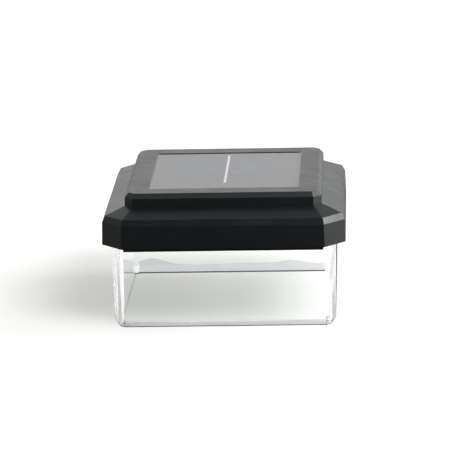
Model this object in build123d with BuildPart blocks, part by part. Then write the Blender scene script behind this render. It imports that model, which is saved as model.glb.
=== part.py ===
from build123d import *
import os
from math import sqrt

os.makedirs("parts", exist_ok=True)

# A solar light that caps a square post. Millimetres, +Z up. The origin is the centre of the
# clear skirt's foot, where the light stands on a table or ends on a post. The front faces -Y.

# The post or post sleeve that the light caps, and the clear skirt around it
post_width = 101.6
post_clearance = 0.3
core_draft_width = 0.75
skirt_wall = 2.95
skirt_rim_inset = 0.48
socket_foot_corner = 2.1
socket_top_corner = 1.6
foot_land = 0.65
foot_bevel_height = 4.0
foot_edge = 0.64
ledge_rise = 2.7
ledge_thickness = 2.5
ledge_reach = 6.0
screw_land = 10.0
corner_gap = 0.26

# Cap, outside
rim_height = 41.9
cap_corner = 10.3
cap_wall_height = 11.3
cap_top_inset = 0.35
cap_bevel_inset = 1.5
cap_bevel_height = 3.15
roof_rise = 3.8
deck_corner = 4.05
deck_bevel_inset = 2.05
deck_bevel_height = 2.3
crisp_edge = 0.3

# Cap, inside
cap_wall = 1.6
roof_wall = 2.0
deck_wall = 2.0
tray_wall = 1.8
boss_radius = 3.25
boss_inset = 2.52
boss_bite = 0.3
pilot_clearance = 0.05
pilot_spare = 1.0
lead_slot_length = 12.0
lead_slot_width = 5.0
lead_slot_gap = 1.45

# Seal strips between the cap and the skirt
strip_thickness = 2.72
strip_hang = 1.7
strip_height = 6.4
strip_gap = 0.2
side_strip_stop = 4.5

# Solar panel, set in the deck
recess_width = 74.5
panel_gap = 0.3
panel_sunk = 0.3
seal_thickness = 0.5
seal_width = 3.0
panel_board_thickness = 1.2
resin_thickness = 1.4
cell_across = 52.0
cell_deep = 14.0
cell_space = 0.5
cell_thickness = 0.25
cell_strips = 4
cells_behind = 4.5
ribbon_width = 1.2
ribbon_thickness = 0.12
cell_pocket_gap = 0.3
cell_pocket_roof_gap = 0.05

# Base plate that closes the cap from below, and its four screws
base_thickness = 3.0
base_gap = 0.22
base_corner = 2.8
screw_inset = 7.12
screw_radius = 1.4
screw_clearance = 0.2
screw_head_radius = 2.6
screw_head_height = 1.8
screw_head_sunk = 0.1
screw_well_clearance = 0.3
screw_length = 12.0
cross_length = 3.0
cross_width = 0.6
cross_depth = 1.0

# Battery bay in the base plate, open downwards, with its cell and contacts
bay_place = -22.0
bay_wall = 1.5
bay_roof = 1.4
bay_headroom = 0.8
cell_radius = 7.1
cell_body_length = 49.2
nub_radius = 2.6
nub_length = 1.2
cell_side_gap = 0.7
cell_roof_gap = 0.3
contact_thickness = 0.4
contact_gap = 0.1
contact_width = 10.0
contact_height = 9.0
tab_width = 2.6
tab_length = 3.0
tab_slot_gap = 0.2
tab_rise = 2.7
spring_length = 3.6
spring_radius = 3.0
spring_wire = 0.35
spring_turns = 3

# Battery door, hinged along the edge nearer the middle
door_thickness = 1.8
door_overlap = 2.0
door_gap = 0.3
door_seat_gap = 0.1
barrel_radius = 1.5
barrel_gap = 0.3
hinge_shoulder = 2.0
hinge_pin_radius = 0.9
hinge_pin_length = 1.6
hinge_pin_clearance = 0.05
hinge_hole_spare = 0.3
tongue_width = 9.0
tongue_thickness = 1.2
tongue_rise = 3.7
tongue_gap = 0.6
cradle_thickness = 2.0
cradle_width = 8.0
cradle_spread = 30.0
cradle_rise = 1.1
cradle_gap = 0.3
thumb_radius = 4.5
thumb_depth = 1.0

# Circuit board, behind the battery door's hinge
board_length = 56.0
board_depth = 36.0
board_space = 1.1
board_thickness = 1.6
board_corner = 2.0
board_lift = 4.8
board_screw_inset = 3.5
post_radius = 2.5
board_screw_radius = 0.9
board_screw_clearance = 0.1
board_head_radius = 1.8
board_head_height = 1.3
board_screw_length = 6.0

# Slide switch under the circuit board
switch_place_x = 16.0
switch_behind = 4.0
switch_length = 9.4
switch_width = 4.6
switch_wall = 0.7
switch_lift = 0.3
switch_travel = 3.0
carrier_length = 3.4
carrier_height = 2.2
carrier_gap = 0.2
lever_length = 2.0
lever_width = 1.6
knob_length = 4.2
knob_width = 3.0
knob_sunk = 0.4
knob_slot_gap = 0.3
well_length = 14.0
well_width = 8.0
well_depth = 1.5
terminal_count = 3
terminal_pitch = 2.5
terminal_radius = 0.3
terminal_clearance = 0.1
terminal_length = 2.6

# Parts on the circuit board, placed from its middle
chip_length = 5.0
chip_width = 4.0
chip_height = 1.5
chip_foot = 0.15
chip_leg_width = 0.4
chip_leg_reach = 1.0
chip_leg_pitch = 1.27
chip_leg_count = 4
chip_place_x = -8.0
chip_place_y = -4.0
drum_radius = 4.0
drum_waist = 2.4
drum_height = 5.0
drum_flange = 0.9
winding_radius = 3.5
winding_gap = 0.05
drum_place_x = 4.0
drum_place_y = -2.0
capacitor_radius = 2.5
capacitor_height = 6.8
capacitor_edge = 0.4
capacitor_place_x = -16.0
capacitor_place_y = 6.0
resistor_length = 2.0
resistor_width = 1.2
resistor_height = 0.6
resistor_pitch_x = 5.0
resistor_pitch_y = 4.0
resistor_place_x = -6.0
resistor_place_y = 8.0

# Small lamp boards that stand on the skirt's ledge, one at each side
lamp_board_length = 16.0
lamp_board_depth = 6.0
lamp_board_thickness = 1.0
lamp_board_inset = 0.34
lamp_gap = 0.3
pad_length = 3.0
pad_depth = 4.0
pad_spread = 12.0
lamp_length = 3.5
lamp_width = 2.8
lamp_height = 1.9
lamp_edge = 0.3

# Leads
lead_radius = 0.55
lead_bend = 1.6
lead_rise = 2.8
twin_lead_width = 2.0
twin_lead_height = 1.0
battery_solder_x_inset = 7.5
battery_solder_y_inset = 6.0
lamp_solder_inset = 2.5
lamp_solder_space = 6.8
front_lead_clearance = 4.0

# Heights that follow from those sizes, from the foot up
ledge_height = rim_height + ledge_rise
ledge_top = ledge_height + ledge_thickness
base_bottom = ledge_height - base_thickness
door_top = base_bottom + door_thickness
cell_height = door_top + cradle_rise + cradle_gap + cell_radius
bay_ceiling = cell_height + cell_radius + cell_roof_gap
tray_underside = bay_ceiling + bay_roof + bay_headroom
recess_floor = tray_underside + tray_wall
panel_board_height = recess_floor + seal_thickness
panel_board_top = panel_board_height + panel_board_thickness
cover_top = panel_board_top + resin_thickness
deck_top = cover_top + panel_sunk
deck_shoulder = deck_top - deck_bevel_height
deck_ceiling = deck_top - deck_wall
wall_top = rim_height + cap_wall_height
bevel_top = wall_top + cap_bevel_height
deck_foot = bevel_top + roof_rise
roof_underside = deck_foot - roof_wall
board_height = ledge_height + board_lift
board_top = board_height + board_thickness
lamp_board_height = ledge_top + lamp_height + lamp_gap
lamp_board_top = lamp_board_height + lamp_board_thickness

# Widths that follow, from the post out
flare_per_height = skirt_rim_inset / rim_height
socket_top_width = post_width + 2 * post_clearance
socket_width = socket_top_width + 2 * core_draft_width
skirt_width = socket_width + 2 * skirt_wall
skirt_rim_width = skirt_width + 2 * skirt_rim_inset
skirt_top_width = skirt_width + 2 * flare_per_height * ledge_top
cavity_width = skirt_rim_width + 2 * (strip_thickness + 2 * strip_gap)
cap_width = cavity_width + 2 * cap_wall
screw_place = socket_top_width / 2 - screw_inset
deck_cavity_width = 2 * (screw_place + boss_inset)
deck_width = deck_cavity_width + 2 * deck_wall

# Places that follow, from the battery bay back
bay_length = 2 * (contact_thickness + contact_gap) + spring_length + cell_body_length + nub_length
bay_width = 2 * (cell_radius + cell_side_gap)
bay_front = bay_place - bay_width / 2
bay_back = bay_place + bay_width / 2
hinge_place = bay_back + bay_wall + barrel_gap + barrel_radius
hinge_height = base_bottom + barrel_radius
board_front = hinge_place + barrel_radius + barrel_gap + board_space
board_place = board_front + board_depth / 2
board_back = board_front + board_depth
switch_place_y = board_place + switch_behind

# A cut corner's leg gets shorter by this share of an even inset of every side.
corner_inset_share = 2 - sqrt(2)


def inset_corner(corner, inset):
    """The leg of a cut corner after every side has moved in by the inset."""
    return corner - corner_inset_share * inset


def cut_square(height, width, corner):
    """A level square with its four corners cut off straight."""
    with BuildSketch(Plane.XY.offset(height)) as outline:
        Rectangle(width, width)
        chamfer(outline.vertices(), corner)
    return outline.sketch


def round_square(height, width, radius):
    """A level square with rounded corners."""
    with BuildSketch(Plane.XY.offset(height)) as outline:
        RectangleRounded(width, width, radius)
    return outline.sketch


# The cap: a thin black shell with leaning walls, a low roof and a raised deck for the panel.
wall_top_width = cap_width - 2 * cap_top_inset
wall_top_corner = inset_corner(cap_corner, cap_top_inset)
roof_edge_width = wall_top_width - 2 * cap_bevel_inset
roof_edge_corner = inset_corner(wall_top_corner, cap_bevel_inset)
deck_top_width = deck_width - 2 * deck_bevel_inset
deck_top_corner = inset_corner(deck_corner, deck_bevel_inset)
cavity_corner = inset_corner(cap_corner, cap_wall)
deck_cavity_corner = inset_corner(deck_corner, deck_wall)
tray_width = recess_width + 2 * tray_wall
panel_width = recess_width - 2 * panel_gap
lead_slot_place = panel_width / 2 - seal_width - lead_slot_gap - lead_slot_width / 2
shank_top = base_bottom + screw_head_sunk + screw_head_height + screw_length

with BuildPart() as top_cap:
    loft(
        [
            cut_square(rim_height, cap_width, cap_corner),
            cut_square(wall_top, wall_top_width, wall_top_corner),
            cut_square(bevel_top, roof_edge_width, roof_edge_corner),
            cut_square(deck_foot, deck_width, deck_corner),
        ],
        ruled=True,
    )
    extrude(cut_square(deck_foot, deck_width, deck_corner), amount=deck_shoulder - deck_foot)
    loft(
        [
            cut_square(deck_shoulder, deck_width, deck_corner),
            cut_square(deck_top, deck_top_width, deck_top_corner),
        ],
        ruled=True,
    )
    # the outer edges are slightly broken, all but the rim and the crease at the deck's foot
    above_rim = top_cap.edges().filter_by_position(Axis.Z, rim_height, deck_top, (False, True))
    crease = top_cap.edges().filter_by_position(Axis.Z, deck_foot, deck_foot)
    fillet(above_rim - crease, crisp_edge)
    # the hollow under the walls, the roof and the deck
    loft(
        [
            cut_square(rim_height, cavity_width, cavity_corner),
            cut_square(wall_top, wall_top_width - 2 * cap_wall, inset_corner(wall_top_corner, cap_wall)),
            cut_square(
                bevel_top - roof_wall,
                roof_edge_width - 2 * cap_wall,
                inset_corner(roof_edge_corner, cap_wall),
            ),
            cut_square(roof_underside, deck_cavity_width, deck_cavity_corner),
        ],
        ruled=True,
        mode=Mode.SUBTRACT,
    )
    extrude(
        cut_square(roof_underside, deck_cavity_width, deck_cavity_corner),
        amount=deck_ceiling - roof_underside,
        mode=Mode.SUBTRACT,
    )
    # four bosses that take the base screws
    with BuildSketch(Plane.XY.offset(ledge_top)):
        with GridLocations(2 * screw_place, 2 * screw_place, 2, 2):
            Circle(boss_radius)
    extrude(amount=deck_ceiling + boss_bite - ledge_top)
    with BuildSketch(Plane.XY.offset(ledge_top)):
        with GridLocations(2 * screw_place, 2 * screw_place, 2, 2):
            Circle(screw_radius + pilot_clearance)
    extrude(amount=shank_top + pilot_spare - ledge_top, mode=Mode.SUBTRACT)
    # the tray that the solar panel lies in, with a slot for its leads
    with BuildSketch(Plane.XY.offset(tray_underside)):
        Rectangle(tray_width, tray_width)
    extrude(amount=deck_ceiling - tray_underside)
    with BuildSketch(Plane.XY.offset(recess_floor)):
        Rectangle(recess_width, recess_width)
    extrude(amount=deck_top - recess_floor, mode=Mode.SUBTRACT)
    with BuildSketch(Plane.XY.offset(tray_underside)):
        with Locations((0, lead_slot_place)):
            SlotOverall(lead_slot_length, lead_slot_width)
    extrude(amount=tray_wall, mode=Mode.SUBTRACT)

top_cap.part.label = "top_cap"
export_step(top_cap.part, "parts/top_cap.step")


# The solar panel: a foam seal, a backing board, four strips of cell, one ribbon and clear resin.
cell_top = panel_board_top + cell_thickness
ribbon_top = cell_top + ribbon_thickness
cell_pitch = cell_deep + cell_space
cell_field_depth = cell_strips * cell_deep + (cell_strips - 1) * cell_space

with BuildPart() as panel_seal:
    with BuildSketch(Plane.XY.offset(recess_floor)):
        Rectangle(panel_width, panel_width)
        Rectangle(panel_width - 2 * seal_width, panel_width - 2 * seal_width, mode=Mode.SUBTRACT)
    extrude(amount=seal_thickness)

panel_seal.part.label = "panel_seal"
export_step(panel_seal.part, "parts/panel_seal.step")

with BuildPart() as panel_board:
    with BuildSketch(Plane.XY.offset(panel_board_height)):
        Rectangle(panel_width, panel_width)
    extrude(amount=panel_board_thickness)

panel_board.part.label = "panel_board"
export_step(panel_board.part, "parts/panel_board.step")

with BuildPart() as solar_cells:
    with BuildSketch(Plane.XY.offset(panel_board_top)):
        with Locations((0, cells_behind)):
            with GridLocations(cell_across, cell_pitch, 1, cell_strips):
                Rectangle(cell_across, cell_deep)
    extrude(amount=cell_thickness)

solar_cells.part.label = "solar_cells"
export_step(solar_cells.part, "parts/solar_cells.step")

with BuildPart() as cell_ribbon:
    with BuildSketch(Plane.XY.offset(cell_top)):
        with Locations((0, cells_behind)):
            Rectangle(ribbon_width, cell_field_depth)
    extrude(amount=ribbon_thickness)

cell_ribbon.part.label = "cell_ribbon"
export_step(cell_ribbon.part, "parts/cell_ribbon.step")

with BuildPart() as panel_cover:
    with BuildSketch(Plane.XY.offset(panel_board_top)):
        Rectangle(panel_width, panel_width)
    extrude(amount=resin_thickness)
    with BuildSketch(Plane.XY.offset(panel_board_top)):
        with Locations((0, cells_behind)):
            Rectangle(cell_across + 2 * cell_pocket_gap, cell_field_depth + 2 * cell_pocket_gap)
    extrude(amount=ribbon_top + cell_pocket_roof_gap - panel_board_top, mode=Mode.SUBTRACT)

panel_cover.part.label = "panel_cover"
export_step(panel_cover.part, "parts/panel_cover.step")


# The clear skirt: a four-sided wall that slips over the post, with a ledge inside the cap.
# Its outside widens a little on its way up, and its socket narrows, as it came off its core.
# Its corners are cut so that they just clear the cap's, and its foot so that a thin edge is left.
lean_at_ledge = cap_top_inset * (ledge_top - rim_height) / cap_wall_height
cavity_ledge_width = cavity_width - 2 * lean_at_ledge
cavity_ledge_corner = inset_corner(cavity_corner, lean_at_ledge)
skirt_corner = skirt_top_width - cavity_ledge_width + cavity_ledge_corner + corner_gap
foot_width = socket_width + 2 * foot_land
foot_corner = foot_width - socket_width + socket_foot_corner - sqrt(2) * foot_edge
ledge_opening = socket_top_width - 2 * ledge_reach
ledge_opening_corner = ledge_opening - 2 * screw_place + screw_land
lamp_place = skirt_top_width / 2 - lamp_board_depth / 2 - lamp_board_inset

with BuildPart() as clear_skirt:
    loft(
        [
            cut_square(0, foot_width, foot_corner),
            cut_square(foot_bevel_height, skirt_width, skirt_corner),
            cut_square(ledge_top, skirt_top_width, skirt_corner),
        ],
        ruled=True,
    )
    loft(
        [
            cut_square(0, socket_width, socket_foot_corner),
            cut_square(ledge_height, socket_top_width, socket_top_corner),
        ],
        ruled=True,
        mode=Mode.SUBTRACT,
    )
    extrude(
        cut_square(ledge_height, ledge_opening, ledge_opening_corner),
        amount=ledge_thickness,
        mode=Mode.SUBTRACT,
    )
    with BuildSketch(Plane.XY.offset(ledge_height)):
        with GridLocations(2 * screw_place, 2 * screw_place, 2, 2):
            Circle(screw_radius + screw_clearance)
    extrude(amount=ledge_thickness, mode=Mode.SUBTRACT)
    # two pads for a lamp board at the middle of each side
    with BuildSketch(Plane.XY.offset(ledge_top)):
        with PolarLocations(lamp_place, 4):
            with GridLocations(pad_depth, pad_spread, 1, 2):
                Rectangle(pad_depth, pad_length)
    extrude(amount=lamp_board_height - ledge_top)

clear_skirt.part.label = "clear_skirt"
export_step(clear_skirt.part, "parts/clear_skirt.step")


# Four seal strips fill the slot between the cap's walls and the skirt, and hang just below the rim.
# The front and rear ones run almost to the cut corners, and the side ones stop a little earlier.
strip_outer = cavity_width / 2 - strip_gap
strip_length = 2 * (cavity_width - cavity_corner - strip_outer - strip_gap)
strip_bottom = rim_height - strip_hang

with BuildPart() as rim_seal_strips:
    with BuildSketch(Plane.XY.offset(strip_bottom)):
        with PolarLocations(strip_outer - strip_thickness / 2, 2):
            Rectangle(strip_thickness, strip_length - 2 * side_strip_stop)
        with PolarLocations(strip_outer - strip_thickness / 2, 2, start_angle=90):
            Rectangle(strip_thickness, strip_length)
    extrude(amount=strip_height)

rim_seal_strips.part.label = "rim_seal_strips"
export_step(rim_seal_strips.part, "parts/rim_seal_strips.step")


# The base plate: it closes the cap, stops the post and carries the battery bay and the board.
base_width = socket_top_width - 2 * base_gap
door_front = bay_front - door_overlap
door_length = bay_length + 2 * door_overlap
barrel_length = door_length - 2 * hinge_shoulder
well_roof = base_bottom + well_depth
knob_slot_length = knob_length + switch_travel + 2 * knob_slot_gap
post_spread_x = board_length - 2 * board_screw_inset
post_spread_y = board_depth - 2 * board_screw_inset
tab_height = cell_height + tab_rise
pin_hole_length = barrel_length + 2 * (barrel_gap + hinge_pin_length + hinge_hole_spare)

with BuildPart() as base_plate:
    extrude(round_square(base_bottom, base_width, base_corner), amount=base_thickness)
    # the bay's walls and roof rise into the cap
    with BuildSketch(Plane.XY.offset(ledge_height)):
        with Locations((0, bay_place)):
            Rectangle(bay_length + 2 * bay_wall, bay_width + 2 * bay_wall)
    extrude(amount=bay_ceiling + bay_roof - ledge_height)
    with BuildSketch(Plane.XY.offset(base_bottom)):
        with Locations((0, bay_place)):
            Rectangle(bay_length, bay_width)
    extrude(amount=bay_ceiling - base_bottom, mode=Mode.SUBTRACT)
    # a slot in each end wall lets a contact's tab out
    with BuildSketch(Plane.XY.offset(tab_height)):
        with Locations((0, bay_place)):
            Rectangle(bay_length + 2 * bay_wall, tab_width + 2 * tab_slot_gap)
    extrude(amount=contact_thickness + 2 * tab_slot_gap, mode=Mode.SUBTRACT)
    # the sunk seat of the door, and the slot of its hinge barrel
    with BuildSketch(Plane.XY.offset(base_bottom)):
        with Locations((0, (door_front - door_gap + hinge_place) / 2)):
            Rectangle(door_length + 2 * door_gap, hinge_place - door_front + door_gap)
    extrude(amount=door_thickness + door_seat_gap, mode=Mode.SUBTRACT)
    with BuildSketch(Plane.XY.offset(base_bottom)):
        with Locations((0, hinge_place)):
            Rectangle(barrel_length + 2 * barrel_gap, 2 * (barrel_radius + barrel_gap))
    extrude(amount=base_thickness, mode=Mode.SUBTRACT)
    with BuildSketch(Plane.YZ.offset(-pin_hole_length / 2)):
        with Locations((hinge_place, hinge_height)):
            Circle(hinge_pin_radius + hinge_pin_clearance)
    extrude(amount=pin_hole_length, mode=Mode.SUBTRACT)
    # a thumb hollow in front of the door
    with BuildSketch(Plane.XY.offset(base_bottom)):
        with Locations((0, door_front - door_gap)):
            Circle(thumb_radius)
    extrude(amount=thumb_depth, mode=Mode.SUBTRACT)
    # posts for the circuit board
    with BuildSketch(Plane.XY.offset(ledge_height)):
        with Locations((0, board_place)):
            with GridLocations(post_spread_x, post_spread_y, 2, 2):
                Circle(post_radius)
    extrude(amount=board_height - ledge_height)
    with BuildSketch(Plane.XY.offset(ledge_height)):
        with Locations((0, board_place)):
            with GridLocations(post_spread_x, post_spread_y, 2, 2):
                Circle(board_screw_radius + pilot_clearance)
    extrude(amount=board_height - ledge_height, mode=Mode.SUBTRACT)
    # the finger well and slot of the switch
    with BuildSketch(Plane.XY.offset(base_bottom)):
        with Locations((switch_place_x, switch_place_y)):
            SlotOverall(well_length, well_width)
    extrude(amount=well_depth, mode=Mode.SUBTRACT)
    with BuildSketch(Plane.XY.offset(well_roof)):
        with Locations((switch_place_x, switch_place_y)):
            Rectangle(knob_slot_length, knob_width + 2 * knob_slot_gap)
    extrude(amount=base_thickness - well_depth, mode=Mode.SUBTRACT)
    # sunk holes for the four base screws
    with BuildSketch(Plane.XY.offset(base_bottom)):
        with GridLocations(2 * screw_place, 2 * screw_place, 2, 2):
            Circle(screw_radius + screw_clearance)
    extrude(amount=base_thickness, mode=Mode.SUBTRACT)
    with BuildSketch(Plane.XY.offset(base_bottom)):
        with GridLocations(2 * screw_place, 2 * screw_place, 2, 2):
            Circle(screw_head_radius + screw_well_clearance)
    extrude(amount=screw_head_height + screw_head_sunk, mode=Mode.SUBTRACT)

base_plate.part.label = "base_plate"
export_step(base_plate.part, "parts/base_plate.step")


# The battery door: a plate with a hinge barrel, two end pins, a snap tongue and two cradles.
tongue_front = bay_front + tongue_gap

with BuildPart() as battery_door:
    with BuildSketch(Plane.XY.offset(base_bottom)):
        with Locations((0, (door_front + hinge_place) / 2)):
            Rectangle(door_length, hinge_place - door_front)
    extrude(amount=door_thickness)
    # beside the barrel the plate stops at the barrel's slot
    with BuildSketch(Plane.XY.offset(base_bottom)):
        with Locations((0, hinge_place)):
            Rectangle(door_length, 2 * (barrel_radius + barrel_gap))
            Rectangle(barrel_length, 2 * (barrel_radius + barrel_gap), mode=Mode.SUBTRACT)
    extrude(amount=door_thickness, mode=Mode.SUBTRACT)
    with BuildSketch(Plane.YZ.offset(-barrel_length / 2)):
        with Locations((hinge_place, hinge_height)):
            Circle(barrel_radius)
    extrude(amount=barrel_length)
    with BuildSketch(Plane.YZ.offset(-barrel_length / 2 - hinge_pin_length - barrel_gap)):
        with Locations((hinge_place, hinge_height)):
            Circle(hinge_pin_radius)
    extrude(amount=barrel_length + 2 * (hinge_pin_length + barrel_gap))
    with BuildSketch(Plane.XY.offset(door_top)):
        with Locations((0, tongue_front + tongue_thickness / 2)):
            Rectangle(tongue_width, tongue_thickness)
    extrude(amount=tongue_rise)
    with BuildSketch(Plane.XY.offset(door_top)):
        with Locations((0, bay_place)):
            with GridLocations(cradle_spread, cradle_width, 2, 1):
                Rectangle(cradle_thickness, cradle_width)
    extrude(amount=cradle_rise)
    # a thumb notch in the free edge
    with BuildSketch(Plane.XY.offset(base_bottom)):
        with Locations((0, door_front)):
            Circle(thumb_radius / 2)
    extrude(amount=thumb_depth, mode=Mode.SUBTRACT)

battery_door.part.label = "battery_door"
export_step(battery_door.part, "parts/battery_door.step")


# The rechargeable cell lies along X, with its nub towards +X, between a spring and a plate.
plate_face = bay_length / 2 - contact_thickness
nub_tip = plate_face - contact_gap
cell_head = nub_tip - nub_length
cell_tail = cell_head - cell_body_length
spring_start = -plate_face

with BuildPart() as battery_cell:
    with BuildSketch(Plane.YZ.offset(cell_tail)):
        with Locations((bay_place, cell_height)):
            Circle(cell_radius)
    extrude(amount=cell_body_length)
    with BuildSketch(Plane.YZ.offset(cell_head)):
        with Locations((bay_place, cell_height)):
            Circle(nub_radius)
    extrude(amount=nub_length)

battery_cell.part.label = "battery_cell"
export_step(battery_cell.part, "parts/battery_cell.step")

with BuildPart() as battery_plate:
    with BuildSketch(Plane.YZ.offset(plate_face)):
        with Locations((bay_place, cell_height)):
            Rectangle(contact_width, contact_height)
    extrude(amount=contact_thickness)
    with BuildSketch(Plane.XY.offset(tab_height + tab_slot_gap)):
        with Locations((plate_face + (contact_thickness + bay_wall + tab_length) / 2, bay_place)):
            Rectangle(contact_thickness + bay_wall + tab_length, tab_width)
    extrude(amount=contact_thickness)

battery_plate.part.label = "battery_plate"
export_step(battery_plate.part, "parts/battery_plate.step")

spring_pitch = (spring_length - 2 * spring_wire) / spring_turns
with BuildPart() as battery_spring:
    with BuildSketch(Plane.YZ.offset(-bay_length / 2)):
        with Locations((bay_place, cell_height)):
            Rectangle(contact_width, contact_height)
    extrude(amount=contact_thickness)
    with BuildSketch(Plane.XY.offset(tab_height + tab_slot_gap)):
        with Locations((-plate_face - (contact_thickness + bay_wall + tab_length) / 2, bay_place)):
            Rectangle(contact_thickness + bay_wall + tab_length, tab_width)
    extrude(amount=contact_thickness)
    with BuildLine() as coil:
        Helix(
            spring_pitch,
            spring_pitch * spring_turns,
            spring_radius,
            center=(spring_start + spring_wire / 2, bay_place, cell_height),
            direction=(1, 0, 0),
        )
    with BuildSketch(Plane(origin=coil.line @ 0, z_dir=coil.line % 0)):
        Circle(spring_wire)
    sweep(path=coil.line, is_frenet=True)

battery_spring.part.label = "battery_spring"
export_step(battery_spring.part, "parts/battery_spring.step")


# The circuit board and what is soldered to it.
with BuildPart() as circuit_board:
    with BuildSketch(Plane.XY.offset(board_height)):
        with Locations((0, board_place)):
            RectangleRounded(board_length, board_depth, board_corner)
            with GridLocations(post_spread_x, post_spread_y, 2, 2):
                Circle(board_screw_radius + board_screw_clearance, mode=Mode.SUBTRACT)
        with Locations((switch_place_x, switch_place_y)):
            with GridLocations(terminal_pitch, terminal_pitch, terminal_count, 1):
                Circle(terminal_radius + terminal_clearance, mode=Mode.SUBTRACT)
    extrude(amount=board_thickness)

circuit_board.part.label = "circuit_board"
export_step(circuit_board.part, "parts/circuit_board.step")

with BuildPart() as driver_chip:
    with BuildSketch(Plane.XY.offset(board_top + chip_foot)):
        with Locations((chip_place_x, board_place + chip_place_y)):
            Rectangle(chip_length, chip_width)
    extrude(amount=chip_height)
    with BuildSketch(Plane.XY.offset(board_top)):
        with Locations((chip_place_x, board_place + chip_place_y)):
            with GridLocations(chip_leg_pitch, chip_width, chip_leg_count, 2):
                Rectangle(chip_leg_width, 2 * chip_leg_reach)
    extrude(amount=2 * chip_foot)

driver_chip.part.label = "driver_chip"
export_step(driver_chip.part, "parts/driver_chip.step")

with BuildPart() as inductor_core:
    with BuildSketch(Plane.XY.offset(board_top)):
        with Locations((drum_place_x, board_place + drum_place_y)):
            Circle(drum_radius)
    extrude(amount=drum_height)
    with BuildSketch(Plane.XY.offset(board_top + drum_flange)):
        with Locations((drum_place_x, board_place + drum_place_y)):
            Circle(drum_radius)
            Circle(drum_waist, mode=Mode.SUBTRACT)
    extrude(amount=drum_height - 2 * drum_flange, mode=Mode.SUBTRACT)

inductor_core.part.label = "inductor_core"
export_step(inductor_core.part, "parts/inductor_core.step")

with BuildPart() as inductor_winding:
    with BuildSketch(Plane.XY.offset(board_top + drum_flange + winding_gap)):
        with Locations((drum_place_x, board_place + drum_place_y)):
            Circle(winding_radius)
            Circle(drum_waist + winding_gap, mode=Mode.SUBTRACT)
    extrude(amount=drum_height - 2 * (drum_flange + winding_gap))

inductor_winding.part.label = "inductor_winding"
export_step(inductor_winding.part, "parts/inductor_winding.step")

with BuildPart() as capacitor:
    with BuildSketch(Plane.XY.offset(board_top)):
        with Locations((capacitor_place_x, board_place + capacitor_place_y)):
            Circle(capacitor_radius)
    extrude(amount=capacitor_height)
    fillet(capacitor.edges().filter_by(GeomType.CIRCLE).sort_by(Axis.Z)[-1], capacitor_edge)

capacitor.part.label = "capacitor"
export_step(capacitor.part, "parts/capacitor.step")

with BuildPart() as resistors:
    with BuildSketch(Plane.XY.offset(board_top)):
        with Locations((resistor_place_x, board_place + resistor_place_y)):
            with GridLocations(resistor_pitch_x, resistor_pitch_y, 2, 2):
                Rectangle(resistor_length, resistor_width)
    extrude(amount=resistor_height)

resistors.part.label = "resistors"
export_step(resistors.part, "parts/resistors.step")

with BuildPart() as board_screws:
    with BuildSketch(Plane.XY.offset(board_top)):
        with Locations((0, board_place)):
            with GridLocations(post_spread_x, post_spread_y, 2, 2):
                Circle(board_head_radius)
    extrude(amount=board_head_height)
    with BuildSketch(Plane.XY.offset(board_top)):
        with Locations((0, board_place)):
            with GridLocations(post_spread_x, post_spread_y, 2, 2):
                Circle(board_screw_radius)
    extrude(amount=-board_screw_length)

board_screws.part.label = "board_screws"
export_step(board_screws.part, "parts/board_screws.step")


# The slide switch: a housing under the board, three terminals and a slider with its knob.
switch_bottom = ledge_height + switch_lift
carrier_width = switch_width - 2 * switch_wall - 2 * carrier_gap
carrier_bottom = switch_bottom + switch_wall + carrier_gap
slider_off = switch_place_x - switch_travel / 2
knob_bottom = base_bottom + knob_sunk

with BuildPart() as switch_housing:
    with BuildSketch(Plane.XY.offset(switch_bottom)):
        with Locations((switch_place_x, switch_place_y)):
            Rectangle(switch_length, switch_width)
    extrude(amount=board_height - switch_bottom)
    with BuildSketch(Plane.XY.offset(switch_bottom + switch_wall)):
        with Locations((switch_place_x, switch_place_y)):
            Rectangle(
                carrier_length + switch_travel + 2 * carrier_gap,
                carrier_width + 2 * carrier_gap,
            )
    extrude(amount=carrier_height + 2 * carrier_gap, mode=Mode.SUBTRACT)
    with BuildSketch(Plane.XY.offset(switch_bottom)):
        with Locations((switch_place_x, switch_place_y)):
            Rectangle(
                lever_length + switch_travel + 2 * carrier_gap,
                lever_width + 2 * carrier_gap,
            )
    extrude(amount=switch_wall, mode=Mode.SUBTRACT)

switch_housing.part.label = "switch_housing"
export_step(switch_housing.part, "parts/switch_housing.step")

with BuildPart() as switch_terminals:
    with BuildSketch(Plane.XY.offset(board_height)):
        with Locations((switch_place_x, switch_place_y)):
            with GridLocations(terminal_pitch, terminal_pitch, terminal_count, 1):
                Circle(terminal_radius)
    extrude(amount=terminal_length)

switch_terminals.part.label = "switch_terminals"
export_step(switch_terminals.part, "parts/switch_terminals.step")

with BuildPart() as switch_slider:
    with BuildSketch(Plane.XY.offset(carrier_bottom)):
        with Locations((slider_off, switch_place_y)):
            Rectangle(carrier_length, carrier_width)
    extrude(amount=carrier_height)
    with BuildSketch(Plane.XY.offset(knob_bottom)):
        with Locations((slider_off, switch_place_y)):
            Rectangle(lever_length, lever_width)
    extrude(amount=carrier_bottom - knob_bottom)
    with BuildSketch(Plane.XY.offset(knob_bottom)):
        with Locations((slider_off, switch_place_y)):
            Rectangle(knob_length, knob_width)
    extrude(amount=ledge_height - knob_bottom)

switch_slider.part.label = "switch_slider"
export_step(switch_slider.part, "parts/switch_slider.step")


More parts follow.
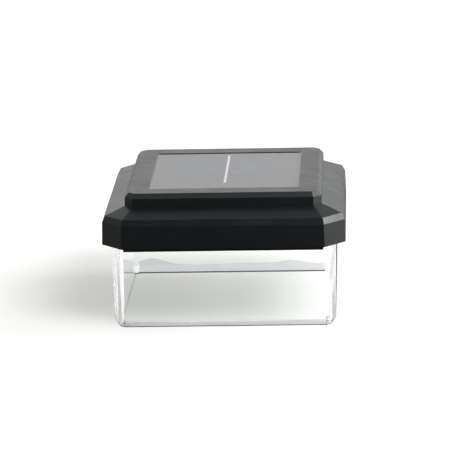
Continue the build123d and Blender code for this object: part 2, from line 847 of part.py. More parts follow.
# Four base screws hold the plate, the skirt's ledge and the cap together.
head_bottom = base_bottom + screw_head_sunk
with BuildPart() as base_screws:
    with BuildSketch(Plane.XY.offset(head_bottom)):
        with GridLocations(2 * screw_place, 2 * screw_place, 2, 2):
            Circle(screw_head_radius)
    extrude(amount=screw_head_height)
    with BuildSketch(Plane.XY.offset(head_bottom)):
        with GridLocations(2 * screw_place, 2 * screw_place, 2, 2):
            Circle(screw_radius)
    extrude(amount=screw_head_height + screw_length)
    with BuildSketch(Plane.XY.offset(head_bottom)):
        with GridLocations(2 * screw_place, 2 * screw_place, 2, 2):
            Rectangle(cross_length, cross_width)
            Rectangle(cross_width, cross_length)
    extrude(amount=cross_depth, mode=Mode.SUBTRACT)

base_screws.part.label = "base_screws"
export_step(base_screws.part, "parts/base_screws.step")


# A small board with one lamp stands over each side of the skirt and shines down into it.
with BuildPart() as lamp_boards:
    with BuildSketch(Plane.XY.offset(lamp_board_height)):
        with PolarLocations(lamp_place, 4):
            Rectangle(lamp_board_depth, lamp_board_length)
    extrude(amount=lamp_board_thickness)

lamp_boards.part.label = "lamp_boards"
export_step(lamp_boards.part, "parts/lamp_boards.step")

with BuildPart() as lamps:
    with BuildSketch(Plane.XY.offset(lamp_board_height)):
        with PolarLocations(lamp_place, 4):
            Rectangle(lamp_width, lamp_length)
    extrude(amount=-lamp_height)
    chamfer(lamps.faces().group_by(Axis.Z)[0].edges(), lamp_edge)

lamps.part.label = "lamps"
export_step(lamps.part, "parts/lamps.step")


def single_lead(points):
    """A round lead of one core along a route of straight runs and bends."""
    with BuildPart() as lead:
        with BuildLine() as route:
            FilletPolyline(*points, radius=lead_bend)
        with BuildSketch(Plane(origin=route.line @ 0, z_dir=route.line % 0)):
            Circle(lead_radius)
        sweep(path=route.line)
    return lead.part


def twin_lead(points):
    """A flat lead of two cores along a route of straight runs and bends."""
    with BuildPart() as lead:
        with BuildLine() as route:
            FilletPolyline(*points, radius=lead_bend)
        with BuildSketch(Plane(origin=route.line @ 0, z_dir=route.line % 0)):
            SlotOverall(twin_lead_width, twin_lead_height)
        sweep(path=route.line)
    return lead.part


# The leads. Each starts on what feeds it and ends on the circuit board's top.
tab_out = bay_length / 2 + bay_wall + tab_length - lead_radius
tab_level = tab_height + tab_slot_gap + contact_thickness + lead_radius
battery_solder_x = board_length / 2 - battery_solder_x_inset
battery_solder_y = board_front + battery_solder_y_inset
lamp_lead_start = lamp_place - lamp_board_depth / 4
lamp_lead_level = lamp_board_top + lead_rise
lamp_solder_x = board_length / 2 - lamp_solder_inset
lamp_solder_y = board_back - lamp_solder_inset
front_lead_x = -(bay_length / 2 + bay_wall + tab_length + front_lead_clearance)
front_lead_start = -lamp_board_length / 4
front_solder_y = board_place - lamp_solder_space
panel_lead_x = lead_slot_length / 4
panel_lead_out = 2 * panel_lead_x
panel_lead_y = lamp_solder_y - lead_rise
panel_lead_turn = tray_underside - lead_rise - lead_bend
panel_lead_low = board_top + lead_rise

for side, name in ((-1, "battery_lead_black"), (1, "battery_lead_red")):
    battery_lead = single_lead(
        [
            (side * tab_out, bay_place, tab_level),
            (side * tab_out, hinge_place, tab_level),
            (side * battery_solder_x, battery_solder_y, tab_level),
            (side * battery_solder_x, battery_solder_y, board_top),
        ]
    )
    battery_lead.label = name
    export_step(battery_lead, f"parts/{name}.step")

for side, name in ((-1, "panel_lead_black"), (1, "panel_lead_red")):
    panel_lead = single_lead(
        [
            (side * panel_lead_x, lead_slot_place, panel_board_height),
            (side * panel_lead_x, lead_slot_place, panel_lead_turn),
            (side * panel_lead_out, panel_lead_y, panel_lead_low),
            (side * panel_lead_out, panel_lead_y, board_top),
        ]
    )
    panel_lead.label = name
    export_step(panel_lead, f"parts/{name}.step")

for side, name in ((-1, "lamp_lead_left"), (1, "lamp_lead_right")):
    lamp_lead = twin_lead(
        [
            (side * lamp_lead_start, board_place, lamp_board_top),
            (side * lamp_lead_start, board_place, lamp_lead_level),
            (side * lamp_solder_x, board_place, lamp_lead_level),
            (side * lamp_solder_x, board_place, board_top),
        ]
    )
    lamp_lead.label = name
    export_step(lamp_lead, f"parts/{name}.step")

lamp_lead_rear = twin_lead(
    [
        (0, lamp_lead_start, lamp_board_top),
        (0, lamp_lead_start, lamp_lead_level),
        (0, lamp_solder_y, lamp_lead_level),
        (0, lamp_solder_y, board_top),
    ]
)
lamp_lead_rear.label = "lamp_lead_rear"
export_step(lamp_lead_rear, "parts/lamp_lead_rear.step")

lamp_lead_front = twin_lead(
    [
        (front_lead_start, -lamp_lead_start, lamp_board_top),
        (front_lead_start, -lamp_lead_start, lamp_lead_level),
        (front_lead_x, -lamp_lead_start + lamp_board_depth, lamp_lead_level),
        (front_lead_x, front_solder_y, lamp_lead_level),
        (-lamp_solder_x, front_solder_y, lamp_lead_level),
        (-lamp_solder_x, front_solder_y, board_top),
    ]
)
lamp_lead_front.label = "lamp_lead_front"
export_step(lamp_lead_front, "parts/lamp_lead_front.step")
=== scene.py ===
import bmesh
import bpy
import math
from mathutils import Matrix, Vector


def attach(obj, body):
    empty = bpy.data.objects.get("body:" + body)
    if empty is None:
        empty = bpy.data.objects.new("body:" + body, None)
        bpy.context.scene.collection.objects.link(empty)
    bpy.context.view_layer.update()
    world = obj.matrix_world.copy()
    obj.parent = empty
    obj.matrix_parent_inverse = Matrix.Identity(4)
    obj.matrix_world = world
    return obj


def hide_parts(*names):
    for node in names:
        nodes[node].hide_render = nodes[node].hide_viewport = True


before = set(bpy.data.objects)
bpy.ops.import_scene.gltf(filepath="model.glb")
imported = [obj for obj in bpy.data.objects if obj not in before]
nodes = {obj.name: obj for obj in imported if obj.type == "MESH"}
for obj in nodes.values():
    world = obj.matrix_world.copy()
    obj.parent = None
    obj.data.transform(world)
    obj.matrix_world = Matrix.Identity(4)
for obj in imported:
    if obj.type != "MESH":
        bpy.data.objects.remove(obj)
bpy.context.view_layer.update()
millimetre = 0.001

# The camera stands far off and looks slightly down at the light's front, a little from the right,
# as a long lens on a tabletop stand does. It leans by a degree and a half.
camera_place = Vector((68.3, -1379.6, 406.7)) * millimetre
camera_aim = Vector((0.29, 1.54, 35.22)) * millimetre
camera_roll = math.radians(-1.486)
camera_lens = 220.73
camera_sensor = 36
camera_near = 0.01
camera_far = 50

camera = bpy.data.objects.new("camera", bpy.data.cameras.new("camera"))
bpy.context.scene.collection.objects.link(camera)
camera.data.lens = camera_lens
camera.data.sensor_width = camera_sensor
camera.data.clip_start = camera_near
camera.data.clip_end = camera_far
look = (camera_aim - camera_place).to_track_quat("-Z", "Y").to_matrix().to_4x4()
lean = Matrix.Rotation(camera_roll, 4, "Z")
camera.matrix_world = Matrix.Translation(camera_place) @ look @ lean
bpy.context.scene.camera = camera

# The table is a wide sheet of white card. For reflections and bounced light its colour carries a
# painted shade: dark grey in front, mid grey to the left and full white on the right, the side of
# the large lamp. The camera sees it as plain white, also through clear plastic, and the light's
# soft shadow stays on it. It glows more the farther it lies from the light, until it runs into the
# white background.
table_width = 3.0
table_seen = 0.83
table_glow = 0.378
glow_colour = (0.98, 1, 0.93)
glow_start = 0.3
glow_end = 0.9
painted_shade_front = 0.12
painted_shade_left = 0.4
painted_light_right = 1.0
side_start = 0.08
side_end = 0.22


def new_material(name, colour, roughness, metallic=0.0):
    """A material with one Principled shader, to which a section adds its own pattern."""
    material = bpy.data.materials.new(name)
    material.use_nodes = True
    shader = material.node_tree.nodes["Principled BSDF"]
    shader.inputs["Base Color"].default_value = (*colour, 1)
    shader.inputs["Roughness"].default_value = roughness
    shader.inputs["Metallic"].default_value = metallic
    return material, material.node_tree, shader


def new_node(tree, kind, **inputs):
    """A node of a material, with some of its inputs set by name."""
    node = tree.nodes.new("ShaderNode" + kind)
    for name, value in inputs.items():
        node.inputs[name.replace("_", " ")].default_value = value
    return node


def math_node(tree, operation, first, second=0.0):
    """A sum, product or other result of two values, each a number or another node's output."""
    node = tree.nodes.new("ShaderNodeMath")
    node.operation = operation
    for socket, value in zip(node.inputs, (first, second)):
        if isinstance(value, (int, float)):
            socket.default_value = value
        else:
            tree.links.new(value, socket)
    return node.outputs[0]


def ramp(tree, source, start, end, low=0.0, high=1.0):
    """A value that turns smoothly from low to high as the source goes from start to end."""
    node = new_node(tree, "MapRange", From_Min=start, From_Max=end, To_Min=low, To_Max=high)
    node.interpolation_type = "SMOOTHSTEP"
    tree.links.new(source, node.inputs["Value"])
    return node.outputs[0]


def coordinates(tree, kind="Object"):
    """The X, Y and Z of a spot on the piece itself, or of the way that it faces."""
    axes = new_node(tree, "SeparateXYZ")
    tree.links.new(new_node(tree, "TexCoord").outputs[kind], axes.inputs[0])
    return axes.outputs


def seen_directly(tree):
    """One for the camera's view, also through clear plastic or mirrored inside it, or nought."""
    path = new_node(tree, "LightPath").outputs
    straight = math_node(tree, "MAXIMUM", path["Is Camera Ray"], path["Is Transmission Ray"])
    inside = math_node(tree, "GREATER_THAN", path["Transmission Depth"], 0.5)
    mirrored_inside = math_node(tree, "MULTIPLY", inside, path["Is Glossy Ray"])
    return math_node(tree, "MAXIMUM", straight, mirrored_inside)


table_mesh = bmesh.new()
bmesh.ops.create_grid(table_mesh, x_segments=1, y_segments=1, size=table_width / 2)
table = bpy.data.objects.new("table", bpy.data.meshes.new("table"))
table_mesh.to_mesh(table.data)
table_mesh.free()
bpy.context.scene.collection.objects.link(table)

card, tree, shader = new_material("white_card", (painted_shade_front,) * 3, 1.0)
spot = coordinates(tree)
# Painted shade and light: the card's colour turns from dark grey in front to mid grey on the left
# and to white on the right.
to_right = ramp(tree, spot["X"], side_start, side_end, 0, painted_light_right - painted_shade_front)
to_left = ramp(tree, spot["X"], -side_start, -side_end, 0, painted_shade_left - painted_shade_front)
shade = math_node(tree, "ADD", math_node(tree, "ADD", to_left, to_right), painted_shade_front)
seen = seen_directly(tree)
shade_elsewhere = math_node(tree, "MULTIPLY", shade, math_node(tree, "SUBTRACT", 1.0, seen))
shade_in_view = math_node(tree, "MULTIPLY", seen, table_seen)
shade = math_node(tree, "ADD", shade_elsewhere, shade_in_view)
tree.links.new(shade, shader.inputs["Base Color"])
shader.inputs["Specular IOR Level"].default_value = 0
shader.inputs["Emission Color"].default_value = (*glow_colour, 1)
distance = new_node(tree, "VectorMath")
distance.operation = "LENGTH"
tree.links.new(new_node(tree, "TexCoord").outputs["Object"], distance.inputs[0])
glow = ramp(tree, distance.outputs["Value"], glow_start, glow_end, table_glow, 1)
tree.links.new(math_node(tree, "MULTIPLY", seen, glow), shader.inputs["Emission Strength"])
table.data.materials.append(card)

# The studio: a white sheet behind, a dim room in front, a large soft box on the right, two small
# ones low beside it and to its rear, and a weak one overhead.
sheet_level = 1.06
sheet_top_level = 0.35
sheet_near = -0.1
sheet_far = 0.5
sheet_low = 0.3
sheet_high = 0.85
room_level = 0.06
lamp_aim = Vector((0, 0, 40)) * millimetre

world = bpy.data.worlds.new("studio")
bpy.context.scene.world = world
world.use_nodes = True
tree = world.node_tree
tree.nodes.clear()
way = coordinates(tree, "Generated")
to_rear = ramp(tree, way["Y"], sheet_near, sheet_far)
upwards = ramp(tree, way["Z"], sheet_low, sheet_high, sheet_level, sheet_top_level)
sheet = math_node(tree, "MULTIPLY", to_rear, upwards)
room = math_node(tree, "MAXIMUM", sheet, room_level)
background = new_node(tree, "Background")
background.inputs["Color"].default_value = (1, 1, 1, 1)
level = math_node(tree, "MAXIMUM", room, seen_directly(tree))
tree.links.new(level, background.inputs["Strength"])
tree.links.new(background.outputs[0], new_node(tree, "OutputWorld").inputs["Surface"])


def soft_box(name, place, width, height, power):
    """A large lamp that faces the light from its place."""
    lamp = bpy.data.objects.new(name, bpy.data.lights.new(name, "AREA"))
    bpy.context.scene.collection.objects.link(lamp)
    lamp.data.shape = "RECTANGLE"
    lamp.data.size = width
    lamp.data.size_y = height
    lamp.data.energy = power
    lamp.location = place
    lamp.rotation_euler = (lamp_aim - Vector(place)).to_track_quat("-Z", "Y").to_euler()


soft_box("right_soft_box", (0.68, -0.62, 0.93), 0.72, 0.76, 12)
soft_box("low_soft_box", (1.14, 0.03, 0.52), 0.34, 0.34, 6)
soft_box("rear_soft_box", (0.85, 0.37, 0.86), 0.3, 0.3, 2.6)
soft_box("top_soft_box", (0.0, -0.35, 1.3), 0.9, 0.9, 1.2)

bpy.context.scene.view_settings.view_transform = "Standard"

# Light runs along inside the skirt's thick walls and turns many times before it comes out at a
# corner, so a ray may turn more often than it does by default.
wall_turns = 32
bpy.context.scene.cycles.max_bounces = wall_turns
bpy.context.scene.cycles.glossy_bounces = wall_turns
bpy.context.scene.cycles.transmission_bounces = wall_turns

# The cap: one moulding of black plastic with a fine satin grain. Its walls, low roof and raised
# deck come straight from the mould, with edges that are only just broken.
noise_low = 0.3
noise_high = 0.7
first_colour = 6
second_colour = 7
blended_colour = 2


def noise_on_object(tree, size, detail=2.0):
    """Soft noise on the piece's own coordinates, in patches of a size in millimetres."""
    noise = new_node(tree, "TexNoise", Scale=1 / (size * millimetre), Detail=detail)
    tree.links.new(new_node(tree, "TexCoord").outputs["Object"], noise.inputs["Vector"])
    return noise.outputs["Fac"]


def spread_noise(tree, noise, low=0.0, high=1.0):
    """Stretches a noise, which keeps near its middle, over the whole way from low to high."""
    span = {"From_Min": noise_low, "From_Max": noise_high, "To_Min": low, "To_Max": high}
    spread = new_node(tree, "MapRange", **span)
    tree.links.new(noise, spread.inputs["Value"])
    return spread.outputs[0]


def vary_roughness(tree, shader, noise, low, high):
    """Makes the surface smoother and rougher in patches, from low to high."""
    tree.links.new(spread_noise(tree, noise, low, high), shader.inputs["Roughness"])


def blend_colours(tree, source, dark, light):
    """A colour between two others, plain or a node's output, by a source from nought to one."""
    blend = new_node(tree, "Mix")
    blend.data_type = "RGBA"
    tree.links.new(source, blend.inputs[0])
    for number, colour in ((first_colour, dark), (second_colour, light)):
        if isinstance(colour, tuple):
            blend.inputs[number].default_value = (*colour, 1)
        else:
            tree.links.new(colour, blend.inputs[number])
    return blend.outputs[blended_colour]


def paint(tree, shader, source, dark, light):
    """Gives the surface a colour between two others, by a source from nought to one."""
    tree.links.new(blend_colours(tree, source, dark, light), shader.inputs["Base Color"])


def mottle(tree, shader, noise, dark, light):
    """Moves the surface's colour between two near shades with a noise."""
    paint(tree, shader, spread_noise(tree, noise), dark, light)


def emboss(tree, shader, source, height):
    """Raises and sinks the surface's grain by a height in millimetres."""
    bump = new_node(tree, "Bump", Distance=height * millimetre, Strength=1.0)
    tree.links.new(source, bump.inputs["Height"])
    tree.links.new(bump.outputs[0], shader.inputs["Normal"])


def dress(material, *names):
    """Gives CAD nodes their material."""
    for name in names:
        nodes[name].data.materials.clear()
        nodes[name].data.materials.append(material)


cap_dark = (0.004, 0.0068, 0.0077)
cap_light = (0.006, 0.0092, 0.0103)

cap_plastic, tree, shader = new_material("cap_plastic", (0.005, 0.008, 0.009), 0.33)
mottle(tree, shader, noise_on_object(tree, 20), cap_dark, cap_light)
vary_roughness(tree, shader, noise_on_object(tree, 8, 4), 0.29, 0.37)
emboss(tree, shader, noise_on_object(tree, 0.25, 3), 0.02)
dress(cap_plastic, "top_cap")

# Seal strips: four lengths of black foam rubber fill the slot between the cap and the skirt. The
# panel lies on a frame of the same foam, cut from sheet.
black_foam, tree, shader = new_material("black_foam", (0.012, 0.012, 0.012), 0.8)
vary_roughness(tree, shader, noise_on_object(tree, 3), 0.7, 0.9)
emboss(tree, shader, noise_on_object(tree, 0.5, 3), 0.05)
dress(black_foam, "rim_seal_strips", "panel_seal")

# The solar panel's board: dark grey glass fibre laminate that fills its recess. It carries four
# strips of cell, soldered in a row under one tinned ribbon.
recess_half = 37.25 * millimetre
board_foot = 63.8 * millimetre
board_head = 65.0 * millimetre
board_edge = 0.15 * millimetre


def new_piece(name, shape, material, body="housing"):
    """Turns a finished shape into a piece that moves with a body."""
    mesh = bpy.data.meshes.new(name)
    shape.to_mesh(mesh)
    shape.free()
    mesh.materials.append(material)
    piece = bpy.data.objects.new(name, mesh)
    bpy.context.scene.collection.objects.link(piece)
    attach(piece, body)
    return piece


def new_block(half_x, half_y, foot, head):
    """A closed block round the middle of the light, between two heights."""
    shape = bmesh.new()
    bmesh.ops.create_cube(shape, size=1)
    bmesh.ops.scale(shape, vec=(2 * half_x, 2 * half_y, head - foot), verts=shape.verts)
    bmesh.ops.translate(shape, vec=(0, 0, (foot + head) / 2), verts=shape.verts)
    return shape


def soften(shape, edges, width):
    """Rounds some edges of a shape."""
    bmesh.ops.bevel(
        shape, geom=edges, offset=width, offset_type="OFFSET", segments=2, profile=0.5,
        affect="EDGES", material=-1, clamp_overlap=True,
    )


board_laminate, tree, shader = new_material("board_laminate", (0.07, 0.07, 0.072), 0.45)
mottle(tree, shader, noise_on_object(tree, 6, 4), (0.062, 0.062, 0.064), (0.078, 0.078, 0.08))
emboss(tree, shader, noise_on_object(tree, 0.8, 2), 0.02)
shape = new_block(recess_half, recess_half, board_foot, board_head)
soften(shape, shape.edges[:], board_edge)
backing = new_piece("panel_backing", shape, board_laminate)
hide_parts("panel_board")

finger_pitch = 1.9
finger_share = 0.16
finger_grey = (0.16, 0.165, 0.17)
crystal_low = 0.35
crystal_high = 0.65


def stripes(tree, axis, pitch, share):
    """One on thin stripes across an axis of the piece, at a pitch in millimetres, or nought."""
    turn = math_node(tree, "DIVIDE", coordinates(tree)[axis], pitch * millimetre)
    return math_node(tree, "LESS_THAN", math_node(tree, "FRACT", turn), share)


silicon, tree, shader = new_material("solar_silicon", (0.045, 0.05, 0.07), 0.35)
crystal = ramp(tree, noise_on_object(tree, 9, 3), crystal_low, crystal_high)
cell_blue = blend_colours(tree, crystal, (0.040, 0.045, 0.068), (0.052, 0.058, 0.080))
fingers = stripes(tree, "Y", finger_pitch, finger_share)
paint(tree, shader, fingers, cell_blue, finger_grey)
vary_roughness(tree, shader, noise_on_object(tree, 4), 0.3, 0.42)
dress(silicon, "solar_cells")

tinned, tree, shader = new_material("tinned_copper", (0.84, 0.84, 0.81), 0.34, 1.0)
vary_roughness(tree, shader, noise_on_object(tree, 1.5, 3), 0.26, 0.46)
emboss(tree, shader, noise_on_object(tree, 1.2, 2), 0.03)
dress(tinned, "cell_ribbon", "switch_terminals")

# The panel's cover: clear resin poured over the cells up to the recess walls. It creeps up the
# walls a little as it sets, so its rim is a thin raised line.
resin_foot = 64.95 * millimetre
resin_head = 66.4 * millimetre
creep_width = 1.1 * millimetre
creep_height = 0.22 * millimetre
touching = 0.01 * millimetre


def clear_material(name, tint, roughness, index, shadow):
    """A clear plastic that light passes through without a hard shadow of its own."""
    material, tree, shader = new_material(name, tint, roughness)
    shader.inputs["IOR"].default_value = index
    shader.inputs["Transmission Weight"].default_value = 1
    path = new_node(tree, "LightPath").outputs
    unseen = math_node(tree, "MAXIMUM", path["Is Shadow Ray"], path["Is Diffuse Ray"])
    through = new_node(tree, "BsdfTransparent", Color=(*shadow, 1))
    choice = new_node(tree, "MixShader")
    tree.links.new(unseen, choice.inputs[0])
    tree.links.new(shader.outputs[0], choice.inputs[1])
    tree.links.new(through.outputs[0], choice.inputs[2])
    tree.links.new(choice.outputs[0], tree.nodes["Material Output"].inputs["Surface"])
    return material, tree, shader


def reach_of(spot):
    """How far a spot stands from the middle, square on to the nearest side."""
    return max(abs(spot.x), abs(spot.y))


panel_resin, tree, shader = clear_material(
    "panel_resin", tint=(0.97, 0.975, 0.98), roughness=0.05, index=1.5, shadow=(0.95, 0.95, 0.95)
)
vary_roughness(tree, shader, noise_on_object(tree, 10, 3), 0.04, 0.09)
emboss(tree, shader, noise_on_object(tree, 30, 1), 0.1)
shape = new_block(recess_half, recess_half, resin_foot, resin_head)
head = [face for face in shape.faces if face.normal.z > 0.5]
bmesh.ops.inset_region(shape, faces=head, thickness=creep_width)
rim = [
    vert for vert in shape.verts
    if vert.co.z > resin_head - touching and reach_of(vert.co) > recess_half - touching
]
bmesh.ops.translate(shape, vec=(0, 0, creep_height), verts=rim)
resin = new_piece("panel_resin_pour", shape, panel_resin)
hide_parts("panel_cover")

# The circuit board: green laminate on four posts, with the charging chip, a coil on its drum, a
# capacitor and four resistors, and two screws that hold it.
track_pitch = 2.1
track_share = 0.35
turn_pitch = 0.4
turn_share = 0.5

mask_green, tree, shader = new_material("board_green", (0.015, 0.09, 0.03), 0.35)
tracks = stripes(tree, "X", track_pitch, track_share)
paint(tree, shader, tracks, (0.012, 0.075, 0.026), (0.02, 0.13, 0.045))
vary_roughness(tree, shader, noise_on_object(tree, 4), 0.28, 0.42)
emboss(tree, shader, tracks, 0.03)
dress(mask_green, "circuit_board")

chip_black, tree, shader = new_material("chip_black", (0.02, 0.02, 0.022), 0.6)
mottle(tree, shader, noise_on_object(tree, 0.6, 3), (0.016, 0.016, 0.018), (0.026, 0.026, 0.028))
emboss(tree, shader, noise_on_object(tree, 0.2, 2), 0.01)
dress(chip_black, "driver_chip", "resistors")

ferrite, tree, shader = new_material("ferrite", (0.05, 0.048, 0.045), 0.55)
mottle(tree, shader, noise_on_object(tree, 0.8, 4), (0.035, 0.034, 0.032), (0.07, 0.066, 0.062))
emboss(tree, shader, noise_on_object(tree, 0.3, 3), 0.03)
dress(ferrite, "inductor_core")

winding, tree, shader = new_material("winding_copper", (0.62, 0.26, 0.1), 0.3, 1.0)
emboss(tree, shader, stripes(tree, "Z", turn_pitch, turn_share), 0.1)
vary_roughness(tree, shader, noise_on_object(tree, 1), 0.25, 0.4)
dress(winding, "inductor_winding")

can_sleeve, tree, shader = new_material("capacitor_can", (0.03, 0.035, 0.05), 0.35)
mottle(tree, shader, noise_on_object(tree, 2), (0.025, 0.03, 0.045), (0.036, 0.042, 0.06))
emboss(tree, shader, noise_on_object(tree, 0.8, 2), 0.02)
dress(can_sleeve, "capacitor")

screw_steel, tree, shader = new_material("screw_steel", (0.56, 0.56, 0.55), 0.35, 1.0)
vary_roughness(tree, shader, noise_on_object(tree, 1, 4), 0.25, 0.45)
emboss(tree, shader, noise_on_object(tree, 0.4, 3), 0.02)
dress(screw_steel, "board_screws", "base_screws")

# The slide switch: a pressed steel case under the board, with a black knob that reaches down into
# a finger well in the base plate. The knob's face is ribbed for the fingertip.
rib_pitch = 0.8
rib_share = 0.5

switch_steel, tree, shader = new_material("switch_steel", (0.6, 0.6, 0.58), 0.4, 1.0)
vary_roughness(tree, shader, noise_on_object(tree, 1.2, 3), 0.3, 0.5)
emboss(tree, shader, noise_on_object(tree, 0.6, 2), 0.02)
dress(switch_steel, "switch_housing")

knob_black, tree, shader = new_material("switch_knob", (0.03, 0.03, 0.032), 0.4)
mottle(tree, shader, noise_on_object(tree, 1, 3), (0.025, 0.025, 0.027), (0.036, 0.036, 0.038))
emboss(tree, shader, stripes(tree, "X", rib_pitch, rib_share), 0.12)
dress(knob_black, "switch_slider")

# The battery: one rechargeable cell in a plain green sleeve, with bare steel at both its ends. It
# lies in its bay between a sprung and a flat contact.
sleeve_middle = 0.9 * millimetre
sleeve_half = 23.7 * millimetre

cell_can, tree, shader = new_material("cell_can", (0.1, 0.3, 0.16), 0.3)
from_middle = math_node(tree, "SUBTRACT", coordinates(tree)["X"], sleeve_middle)
bare = math_node(tree, "GREATER_THAN", math_node(tree, "ABSOLUTE", from_middle), sleeve_half)
paint(tree, shader, bare, (0.06, 0.25, 0.12), (0.62, 0.62, 0.6))
tree.links.new(bare, shader.inputs["Metallic"])
vary_roughness(tree, shader, noise_on_object(tree, 2, 3), 0.22, 0.38)
emboss(tree, shader, noise_on_object(tree, 1.5, 2), 0.02)
dress(cell_can, "battery_cell")

contact_steel, tree, shader = new_material("contact_steel", (0.66, 0.65, 0.62), 0.28, 1.0)
vary_roughness(tree, shader, noise_on_object(tree, 1.5, 3), 0.2, 0.4)
emboss(tree, shader, noise_on_object(tree, 0.8, 2), 0.02)
dress(contact_steel, "battery_plate", "battery_spring")

# Lamps: a white lamp with a yellow face looks down through the skirt's ledge from a small white
# board on each side.
lamp_body = (0.75, 0.74, 0.7)
lamp_yellow = (0.85, 0.62, 0.1)
straight_down = -0.9

lamp_white, tree, shader = new_material("lamp_white", lamp_body, 0.4)
lit_face = math_node(tree, "LESS_THAN", coordinates(tree, "Normal")["Z"], straight_down)
paint(tree, shader, lit_face, lamp_body, lamp_yellow)
vary_roughness(tree, shader, noise_on_object(tree, 1), 0.3, 0.5)
emboss(tree, shader, noise_on_object(tree, 0.5, 2), 0.01)
dress(lamp_white, "lamps")

board_white, tree, shader = new_material("board_white", (0.6, 0.6, 0.58), 0.4)
mottle(tree, shader, noise_on_object(tree, 2, 3), (0.56, 0.56, 0.54), (0.64, 0.64, 0.62))
emboss(tree, shader, noise_on_object(tree, 0.8, 2), 0.02)
dress(board_white, "lamp_boards")

# Leads: thin stranded wire in soft vinyl, black and red for the battery and panel, white and flat
# for the lamps.
paler = 1.15
lamp_leads = ("lamp_lead_left", "lamp_lead_right", "lamp_lead_rear", "lamp_lead_front")

for name, colour, wired in (
    ("lead_black", (0.015, 0.015, 0.016), ("battery_lead_black", "panel_lead_black")),
    ("lead_red", (0.45, 0.02, 0.015), ("battery_lead_red", "panel_lead_red")),
    ("lead_white", (0.7, 0.7, 0.68), lamp_leads),
):
    vinyl, tree, shader = new_material(name, colour, 0.45)
    light = tuple(min(1, paler * part) for part in colour)
    mottle(tree, shader, noise_on_object(tree, 3), colour, light)
    vary_roughness(tree, shader, noise_on_object(tree, 2), 0.38, 0.55)
    emboss(tree, shader, noise_on_object(tree, 1, 2), 0.03)
    dress(vinyl, *wired)

# The base plate closes the cap from below and stops the post. It and the battery door are of the
# cap's own plastic. OFF and ON stand on the finger well's roof, and the cell's poles inside the
# door, raised in the mould.
dress(cap_plastic, "base_plate", "battery_door")

well_roof = 43.1 * millimetre
word_line = 11.2 * millimetre
word_size = 1.7 * millimetre
off_place = 13.2 * millimetre
on_place = 18.6 * millimetre
door_inside = 43.4 * millimetre
pole_line = -22 * millimetre
pole_size = 6 * millimetre
pole_place = 23.5 * millimetre
mark_rise = 0.2 * millimetre
mark_sunk = 0.05 * millimetre
outline_steps = 4
letter_joints = 0.001 * millimetre


def raised_mark(name, words, size, place, body, facing_down=False):
    """Letters that stand proud of a moulded surface, as one closed mesh each."""
    curve = bpy.data.curves.new(name, "FONT")
    curve.body = words
    curve.size = size
    curve.resolution_u = outline_steps
    curve.extrude = (mark_rise + mark_sunk) / 2
    curve.align_x = "CENTER"
    curve.align_y = "CENTER"
    writing = bpy.data.objects.new(name + "_writing", curve)
    bpy.context.scene.collection.objects.link(writing)
    bpy.context.view_layer.update()
    letters = bpy.data.meshes.new_from_object(writing)
    bpy.data.objects.remove(writing)
    shape = bmesh.new()
    shape.from_mesh(letters)
    bmesh.ops.remove_doubles(shape, verts=shape.verts, dist=letter_joints)
    turn = Matrix.Rotation(math.pi if facing_down else 0, 4, "X")
    way = -1 if facing_down else 1
    lift = Vector((0, 0, way * (mark_rise - mark_sunk) / 2))
    spot = Matrix.Translation(Vector(place) + lift)
    bmesh.ops.transform(shape, matrix=spot @ turn, verts=shape.verts)
    mark = new_piece(name, shape, cap_plastic, body)


off_spot = (off_place, word_line, well_roof)
on_spot = (on_place, word_line, well_roof)
plus_spot = (pole_place, pole_line, door_inside)
minus_spot = (-pole_place, pole_line, door_inside)
raised_mark("off_mark", "OFF", word_size, off_spot, "housing", facing_down=True)
raised_mark("on_mark", "ON", word_size, on_spot, "housing", facing_down=True)
raised_mark("plus_mark", "+", pole_size, plus_spot, "battery_door")
raised_mark("minus_mark", "-", pole_size, minus_spot, "battery_door")

# The skirt: one thick-walled moulding of clear plastic that slips over the post, clamped up under
# the cap with the base plate. The walls' feet are frosted up to a wavy line inside, and the cut
# corners and the bevel a little too. The rim they stand on, up to about half a millimetre, is
# painted dark grey and nearly opaque, a painted contact shadow where the skirt meets the table.
foot_half = 51.85 * millimetre
wall_foot_half = 54.8 * millimetre
wall_flare = 0.0125
bevel_top = 4.0 * millimetre
corner_cut = 3.73 * millimetre
corner_width = 2 * millimetre
ledge_height = 44.6 * millimetre
skirt_edge = 0.22 * millimetre
sharp_angle = math.radians(20)
flat_angle = math.radians(0.5)
triangle_joints = 0.002 * millimetre
cut_slack = 0.0001 * millimetre
row_slack = 0.001 * millimetre
wall_slack = 0.1 * millimetre
outer_gap = 0.4 * millimetre
rows_top = 11.0 * millimetre
row_step = 0.5 * millimetre
column_step = 2.0 * millimetre

side_line = (0.8, ((0.5, 14, 15),))
front_line = (2.6, ((0.4, -34, 12), (0.5, 38, 9)))
rear_line = (4.7, ((3.6, -43, 9), (1.8, 31, 8), (0.4, 8, 14)))
line_below = 0.4 * millimetre
line_above = 0.6 * millimetre
corner_frost = 0.45
bevel_frost = 0.6


def copy_of(name):
    """A CAD node's shape, with its loose triangles joined and its flat faces whole again."""
    shape = bmesh.new()
    shape.from_mesh(nodes[name].data)
    bmesh.ops.remove_doubles(shape, verts=shape.verts, dist=triangle_joints)
    bmesh.ops.dissolve_limit(
        shape, angle_limit=flat_angle, use_dissolve_boundaries=False, verts=shape.verts,
        edges=shape.edges, delimit=set(),
    )
    return shape


def cut_level(shape, faces, place, normal):
    """Cuts some faces of a shape along a plane and leaves both sides."""
    edges = dict.fromkeys(edge for face in faces for edge in face.edges)
    verts = dict.fromkeys(vert for face in faces for vert in face.verts)
    parts = [*verts, *edges, *faces]
    bmesh.ops.bisect_plane(shape, geom=parts, dist=cut_slack, plane_co=place, plane_no=normal)


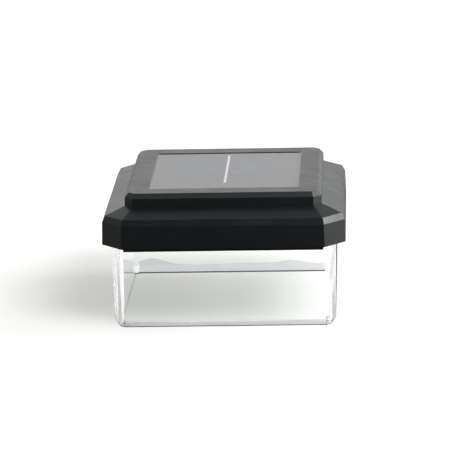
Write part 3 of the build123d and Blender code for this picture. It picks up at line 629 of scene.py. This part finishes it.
def settle(shape):
    """Puts the faces in a fixed order, because cuts leave them in another one each time."""
    shape.verts.index_update()
    faces = sorted(shape.faces, key=lambda face: sorted(vert.index for vert in face.verts))
    for number, face in enumerate(faces):
        face.index = number
    shape.faces.sort()


def height_at(line, place):
    """A wavy line's height in millimetres, from its lowest height and its humps, each with a rise,
    a middle and a width."""
    lowest, humps = line
    rises = [rise * math.exp(-(((place - middle) / width) ** 2)) for rise, middle, width in humps]
    return lowest + sum(rises)


def line_height(spot):
    """The height of the frosted foot's upper line on the socket wall nearest to a spot."""
    x = spot.x / millimetre
    y = spot.y / millimetre
    if abs(y) < abs(x):
        return height_at(side_line, y) * millimetre
    return height_at(front_line if y < 0 else rear_line, x) * millimetre


def smooth_rise(value, start, end):
    """Nought before start, one after end, and a smooth turn between them."""
    share = min(1, max(0, (value - start) / (end - start)))
    return share * share * (3 - 2 * share)


shape = copy_of("clear_skirt")
outer_edges = [
    edge for edge in shape.edges
    if len(edge.link_faces) == 2 and edge.calc_face_angle() > sharp_angle
    and all(reach_of(vert.co) > foot_half + outer_gap for vert in edge.verts)
    and all(abs(vert.co.x) + abs(vert.co.y) > 2 * foot_half - corner_width for vert in edge.verts)
    and min(vert.co.z for vert in edge.verts) < ledge_height
]
soften(shape, outer_edges, skirt_edge)
socket_walls = [
    face for face in shape.faces
    if all(reach_of(vert.co) < foot_half + wall_slack for vert in face.verts)
    and min(vert.co.z for vert in face.verts) < wall_slack
]
cut_level(shape, socket_walls, (0, 0, rows_top), (0, 0, 1))


def socket_foot(shape):
    """The faces of the socket's own walls, up to the top row."""
    return [
        face for face in shape.faces
        if all(vert.co.z < rows_top + row_slack for vert in face.verts)
        and all(reach_of(vert.co) < foot_half + wall_slack for vert in face.verts)
    ]


for number in range(1, round(rows_top / row_step)):
    cut_level(shape, socket_foot(shape), (0, 0, number * row_step), (0, 0, 1))
columns = int(foot_half / column_step)
for number in range(-columns, columns + 1):
    for axis in ((1, 0, 0), (0, 1, 0)):
        cut_level(shape, socket_foot(shape), Vector(axis) * number * column_step, axis)
settle(shape)

frost_share = []
for vert in shape.verts:
    spot = vert.co
    share = 0.0
    cut_corner_reach = 2 * (wall_foot_half + wall_flare * (spot.z - bevel_top)) - corner_cut
    if reach_of(spot) < foot_half + wall_slack and spot.z < rows_top:
        line = line_height(spot)
        share = 1 - smooth_rise(spot.z, line - line_below, line + line_above)
    elif spot.z < bevel_top:
        share = bevel_frost
    elif abs(spot.x) + abs(spot.y) > cut_corner_reach - wall_slack:
        share = corner_frost
    frost_share.append(share)

clear_tint = (0.977, 0.984, 0.979)
frost_tint = (0.89, 0.90, 0.935)
# Painted contact shadow: the lowest half millimetre of the skirt is coloured dark grey and made
# nearly opaque, fading out by 0.65 mm.
painted_contact_shadow_tint = (0.10, 0.10, 0.11)
contact_shadow_start = 0.45 * millimetre
contact_shadow_end = 0.65 * millimetre
contact_shadow_share = 0.9
milky_from = 0.4
milky_share = 0.25
clear_roughness = 0.015
frost_roughness = 0.35
frost_relief = 0.24

clear_plastic, tree, shader = clear_material(
    "clear_plastic", tint=clear_tint, roughness=0.02, index=1.49, shadow=(0.95, 0.955, 0.96)
)
frost = new_node(tree, "Attribute")
frost.attribute_name = "frost"
frosted = frost.outputs["Fac"]
# The painted contact shadow darkens the foot and takes most of its clearness away.
painted_contact_shadow = ramp(tree, coordinates(tree)["Z"], contact_shadow_start, contact_shadow_end, 1, 0)
tint = blend_colours(tree, frosted, clear_tint, frost_tint)
paint(tree, shader, painted_contact_shadow, tint, painted_contact_shadow_tint)
milky = ramp(tree, frosted, milky_from, 1, 0, milky_share)
solid = math_node(tree, "MAXIMUM", milky, math_node(tree, "MULTIPLY", painted_contact_shadow, contact_shadow_share))
tree.links.new(math_node(tree, "SUBTRACT", 1.0, solid), shader.inputs["Transmission Weight"])
rough = math_node(tree, "MULTIPLY", frosted, frost_roughness)
tree.links.new(math_node(tree, "ADD", rough, clear_roughness), shader.inputs["Roughness"])
grain = noise_on_object(tree, 1.1, 3)
emboss(tree, shader, math_node(tree, "MULTIPLY", milky, grain), frost_relief)
skirt = new_piece("skirt_moulding", shape, clear_plastic)
skirt.data.attributes.new("frost", "FLOAT", "POINT").data.foreach_set("value", frost_share)
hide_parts("clear_skirt")
